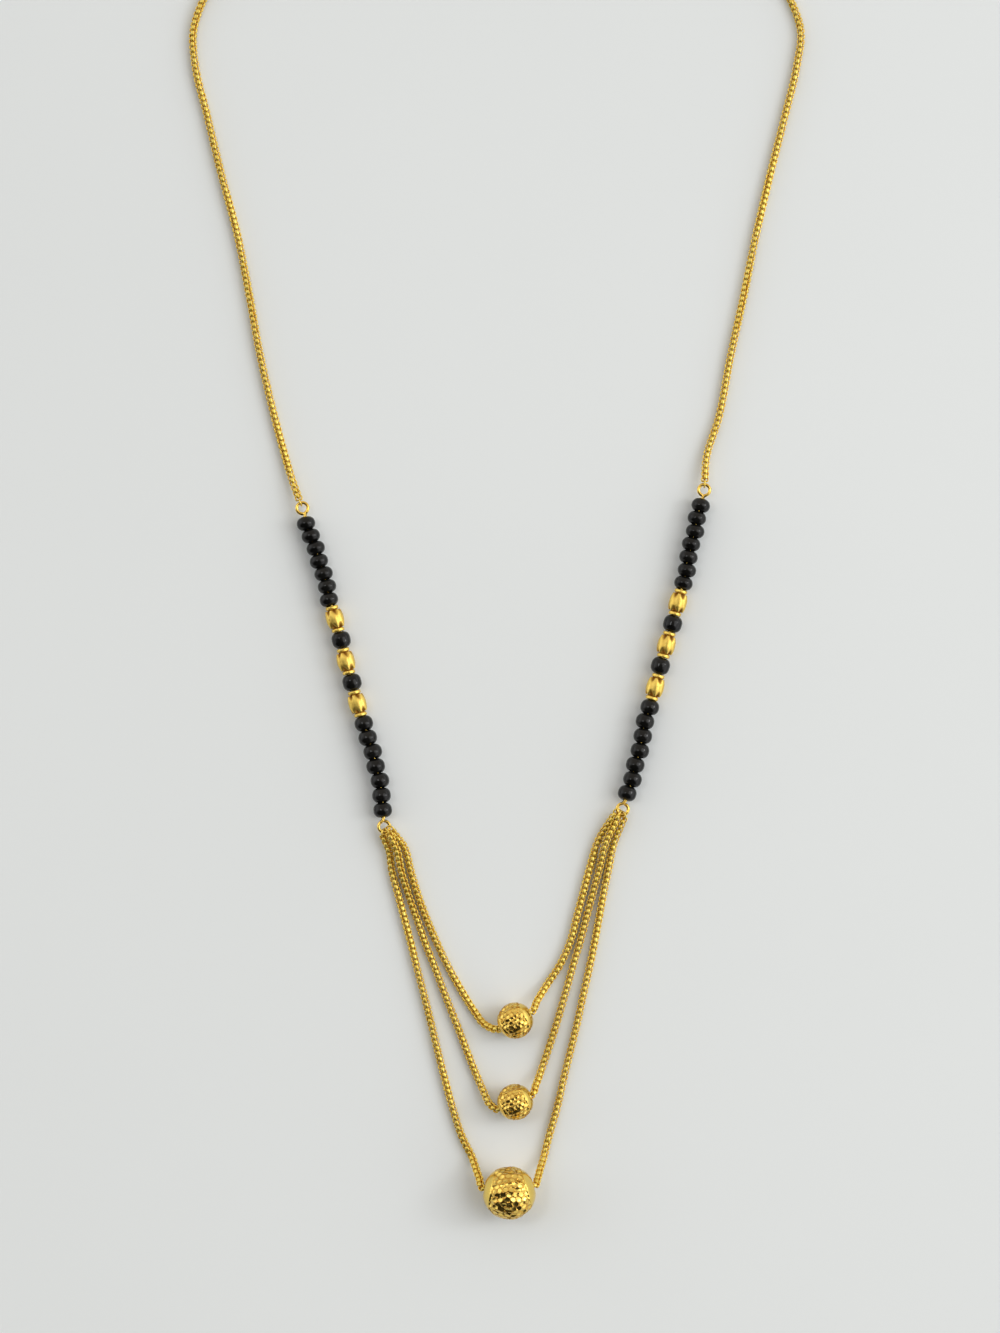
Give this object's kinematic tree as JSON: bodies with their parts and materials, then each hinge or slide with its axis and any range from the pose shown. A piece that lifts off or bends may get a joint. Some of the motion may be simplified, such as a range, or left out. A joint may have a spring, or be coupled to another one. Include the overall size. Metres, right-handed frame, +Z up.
{
  "type": "mangalsutra necklace",
  "caption": "Mangalsutra: box chain with black and gold beads on each side and tiers of chain in front, each through a diamond-cut gold ball, lying flat as one whole loop.",
  "frame": {"origin": "under the middle of the necklace's box, on the surface that it lies on", "axes": "X across the necklace, +X at the wearer's left as seen from above, +Y towards the clasp, +Z up from the surface"},
  "size_m": [0.0984, 0.219, 0.0085],
  "materials": {
    "chain_gold": "bright gold plate on fine box chain, darker between its links",
    "ball_gold": "gold plate, diamond cut to bright hollows, smooth round the holes",
    "bead_gold": "pale gold plate with raised lobes and polished collars",
    "wire_gold": "polished gold-plated wire",
    "black_glass": "opaque black glass, glossy"
  },
  "bodies": {
    "root": {"back_chain_left": "chain_gold", "back_chain_right": "chain_gold", "clasp": "wire_gold", "tier_chain_top": "chain_gold", "tier_chain_middle": "chain_gold", "tier_chain_bottom": "chain_gold", "ball_top": "ball_gold", "ball_middle": "ball_gold", "ball_bottom": "ball_gold", "bead_wire_left": "wire_gold", "bead_wire_right": "wire_gold", "black_bead_left_01": "black_glass", "black_bead_left_02": "black_glass", "black_bead_left_03": "black_glass", "black_bead_left_04": "black_glass", "black_bead_left_05": "black_glass", "black_bead_left_06": "black_glass", "black_bead_left_07": "black_glass", "black_bead_left_08": "black_glass", "black_bead_left_09": "black_glass", "black_bead_left_10": "black_glass", "black_bead_left_11": "black_glass", "black_bead_left_12": "black_glass", "black_bead_left_13": "black_glass", "black_bead_left_14": "black_glass", "black_bead_left_15": "black_glass", "black_bead_left_16": "black_glass", "black_bead_right_01": "black_glass", "black_bead_right_02": "black_glass", "black_bead_right_03": "black_glass", "black_bead_right_04": "black_glass", "black_bead_right_05": "black_glass", "black_bead_right_06": "black_glass", "black_bead_right_07": "black_glass", "black_bead_right_08": "black_glass", "black_bead_right_09": "black_glass", "black_bead_right_10": "black_glass", "black_bead_right_11": "black_glass", "black_bead_right_12": "black_glass", "black_bead_right_13": "black_glass", "black_bead_right_14": "black_glass", "black_bead_right_15": "black_glass", "black_bead_right_16": "black_glass", "gold_bead_left_1": "bead_gold", "gold_bead_left_2": "bead_gold", "gold_bead_left_3": "bead_gold", "gold_bead_right_1": "bead_gold", "gold_bead_right_2": "bead_gold", "gold_bead_right_3": "bead_gold"}
  },
  "joints": []
}
